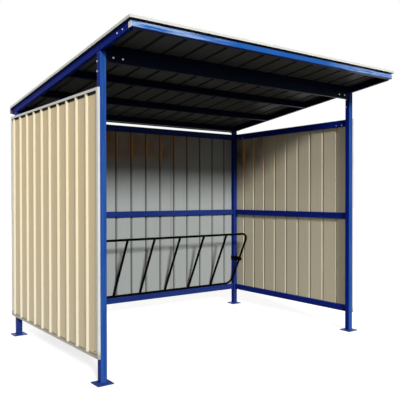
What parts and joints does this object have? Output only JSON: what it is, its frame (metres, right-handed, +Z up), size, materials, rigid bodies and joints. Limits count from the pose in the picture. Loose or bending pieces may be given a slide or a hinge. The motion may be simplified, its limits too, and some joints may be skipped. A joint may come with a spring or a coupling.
{
  "type": "bike shelter",
  "caption": "Open-fronted bike shelter with a square tube frame on bolted base plates, ribbed sheet walls and mono-pitch roof, and a leaning tube rack along the back wall.",
  "frame": {"origin": "middle of the overall box, at ground level under the base plates", "axes": "+X to the right along the open front, +Y from the open front to the back wall, +Z up"},
  "size_m": [3.4544, 3.0126, 3.0921],
  "materials": {
    "blue_powder_coat": "satin powder coat",
    "grey_end_cap": "satin",
    "beige_wall_sheet": "satin coil-coated steel",
    "roof_sheet_paint": "satin coil-coated steel",
    "white_edge_trim": "satin paint on folded steel",
    "black_rack_enamel": "gloss enamel"
  },
  "bodies": {
    "root": {"base_plates": "blue_powder_coat", "left_front_post": "blue_powder_coat", "right_front_post": "blue_powder_coat", "left_back_post": "blue_powder_coat", "right_back_post": "blue_powder_coat", "left_top_rail": "blue_powder_coat", "right_top_rail": "blue_powder_coat", "back_top_rail": "blue_powder_coat", "left_middle_rail": "blue_powder_coat", "right_middle_rail": "blue_powder_coat", "back_middle_rail": "blue_powder_coat", "left_bottom_rail": "blue_powder_coat", "right_bottom_rail": "blue_powder_coat", "back_bottom_rail": "blue_powder_coat", "front_header": "blue_powder_coat", "left_rafter": "blue_powder_coat", "right_rafter": "blue_powder_coat", "roof_purlins": "blue_powder_coat", "front_fascia": "blue_powder_coat", "left_fascia_cap": "grey_end_cap", "right_fascia_cap": "grey_end_cap", "left_wall_sheet": "beige_wall_sheet", "right_wall_sheet": "beige_wall_sheet", "back_wall_sheet": "beige_wall_sheet", "roof_sheet": "roof_sheet_paint", "left_wall_front_trim": "white_edge_trim", "left_wall_back_trim": "white_edge_trim", "left_wall_top_trim": "white_edge_trim", "left_wall_bottom_trim": "white_edge_trim", "right_wall_front_trim": "white_edge_trim", "right_wall_back_trim": "white_edge_trim", "right_wall_top_trim": "white_edge_trim", "right_wall_bottom_trim": "white_edge_trim", "back_wall_top_trim": "white_edge_trim", "back_wall_bottom_trim": "white_edge_trim", "roof_front_trim": "white_edge_trim", "roof_back_trim": "white_edge_trim", "left_roof_trim": "white_edge_trim", "right_roof_trim": "white_edge_trim", "rack_top_tube": "black_rack_enamel", "rack_bottom_tube": "black_rack_enamel", "left_rack_end": "black_rack_enamel", "right_rack_end": "black_rack_enamel", "rack_bars": "black_rack_enamel", "left_rack_bracket": "black_rack_enamel", "right_rack_bracket": "black_rack_enamel"}
  },
  "joints": []
}
